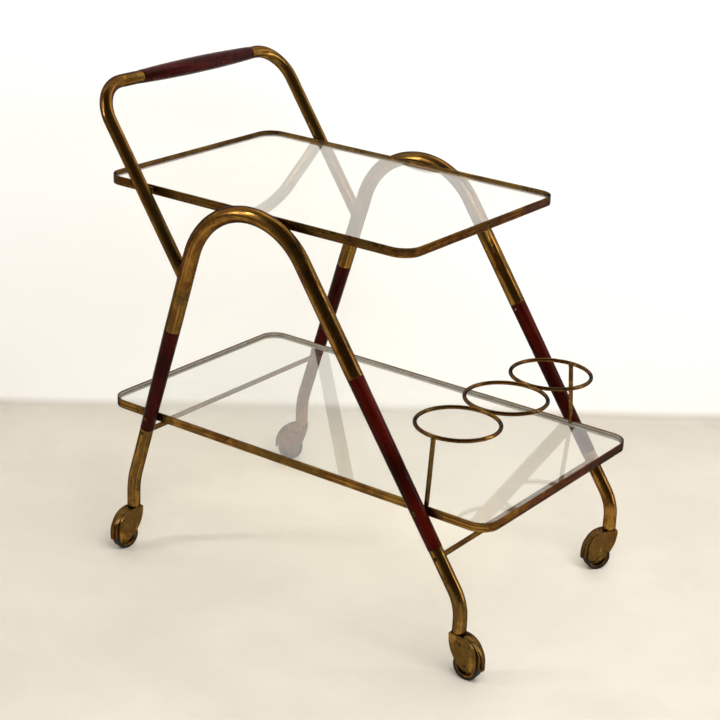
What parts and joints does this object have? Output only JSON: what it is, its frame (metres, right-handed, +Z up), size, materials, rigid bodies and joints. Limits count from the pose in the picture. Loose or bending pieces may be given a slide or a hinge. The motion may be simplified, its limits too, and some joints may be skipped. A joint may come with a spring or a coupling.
{
  "type": "dessert trolley",
  "caption": "Two-tier trolley on four swivel casters: glass trays in metal bands hang between bent-tube arches with turned wooden legs, with bottle rings in front and a push handle behind.",
  "frame": {"origin": "on the floor, under the middle of the bounding box with the casters as stored", "axes": "+X forward, from the push handle to the bottle rings; +Y to the trolley's left; +Z up"},
  "size_m": [0.7621, 0.4958, 0.7492],
  "materials": {
    "tube_brass": "aged satin brass tube with brown patches",
    "dark_wood": "dark red-brown wood, glossy varnish",
    "band_brass": "darkened brass band",
    "glass": "clear glass with a faint green edge",
    "ring_brass": "dark bronze-toned brass rod",
    "bar_brass": "aged brass rod",
    "cast_brass": "cast brass, worn bright on the edges",
    "stud_brass": "turned brass",
    "screw_brass": "darkened screw heads",
    "steel": "plain steel, lightly greased",
    "socket_brass": "pressed sleeve",
    "wheel_brass": "turned wheel body",
    "rubber": "dark rubber tyre"
  },
  "bodies": {
    "frame": {"arch_tube_left": "tube_brass", "arch_tube_right": "tube_brass", "bar_screw_front_left": "screw_brass", "bar_screw_front_right": "screw_brass", "bar_screw_rear_left": "screw_brass", "bar_screw_rear_right": "screw_brass", "bottle_ring_left": "ring_brass", "bottle_ring_middle": "ring_brass", "bottle_ring_right": "ring_brass", "foot_tube_front_left": "tube_brass", "foot_tube_front_right": "tube_brass", "foot_tube_rear_left": "tube_brass", "foot_tube_rear_right": "tube_brass", "front_crossbar": "bar_brass", "handle_arm_left": "tube_brass", "handle_arm_right": "tube_brass", "handle_grip": "dark_wood", "leg_wood_front_left": "dark_wood", "leg_wood_front_right": "dark_wood", "leg_wood_rear_left": "dark_wood", "leg_wood_rear_right": "dark_wood", "lower_glass": "glass", "lower_tray_frame": "band_brass", "rear_crossbar": "bar_brass", "ring_post_left": "ring_brass", "ring_post_right": "ring_brass", "socket_front_left": "socket_brass", "socket_front_right": "socket_brass", "socket_rear_left": "socket_brass", "socket_rear_right": "socket_brass", "tray_screw_front_left": "screw_brass", "tray_screw_front_right": "screw_brass", "tray_screw_rear_left": "screw_brass", "tray_screw_rear_right": "screw_brass", "tray_stud_front_left": "stud_brass", "tray_stud_front_right": "stud_brass", "tray_stud_rear_left": "stud_brass", "tray_stud_rear_right": "stud_brass", "upper_glass": "glass", "upper_tray_frame": "band_brass"},
    "caster_front_right": {"hood_front_right": "cast_brass", "stem_front_right": "steel", "axle_front_right": "steel"},
    "roller_front_right": {"wheel_front_right": "wheel_brass", "tyre_front_right": "rubber"},
    "caster_front_left": {"hood_front_left": "cast_brass", "stem_front_left": "steel", "axle_front_left": "steel"},
    "roller_front_left": {"wheel_front_left": "wheel_brass", "tyre_front_left": "rubber"},
    "caster_rear_right": {"hood_rear_right": "cast_brass", "stem_rear_right": "steel", "axle_rear_right": "steel"},
    "roller_rear_right": {"wheel_rear_right": "wheel_brass", "tyre_rear_right": "rubber"},
    "caster_rear_left": {"hood_rear_left": "cast_brass", "stem_rear_left": "steel", "axle_rear_left": "steel"},
    "roller_rear_left": {"wheel_rear_left": "wheel_brass", "tyre_rear_left": "rubber"}
  },
  "joints": [
    {"name": "swivel_front_right", "type": "hinge", "parent": "frame", "child": "caster_front_right", "pos_m": [0.336, -0.2027, 0.069], "axis": [0, 0, 1], "continuous": true},
    {"name": "spin_front_right", "type": "hinge", "parent": "caster_front_right", "child": "roller_front_right", "pos_m": [0.354, -0.20317, 0.021], "axis": [0.0262, 0.9997, 0], "continuous": true},
    {"name": "swivel_front_left", "type": "hinge", "parent": "frame", "child": "caster_front_left", "pos_m": [0.336, 0.2331, 0.069], "axis": [0, 0, 1], "continuous": true},
    {"name": "spin_front_left", "type": "hinge", "parent": "caster_front_left", "child": "roller_front_left", "pos_m": [0.32594, 0.21818, 0.021], "axis": [0.829, -0.5592, 0], "continuous": true},
    {"name": "swivel_rear_right", "type": "hinge", "parent": "frame", "child": "caster_rear_right", "pos_m": [-0.29, -0.2027, 0.069], "axis": [0, 0, 1], "continuous": true},
    {"name": "spin_rear_right", "type": "hinge", "parent": "caster_rear_right", "child": "roller_rear_right", "pos_m": [-0.29219, -0.22057, 0.021], "axis": [0.9925, -0.1219, 0], "continuous": true},
    {"name": "swivel_rear_left", "type": "hinge", "parent": "frame", "child": "caster_rear_left", "pos_m": [-0.29, 0.2331, 0.069], "axis": [0, 0, 1], "continuous": true},
    {"name": "spin_rear_left", "type": "hinge", "parent": "caster_rear_left", "child": "roller_rear_left", "pos_m": [-0.30559, 0.2241, 0.021], "axis": [0.5, -0.866, 0], "continuous": true}
  ]
}
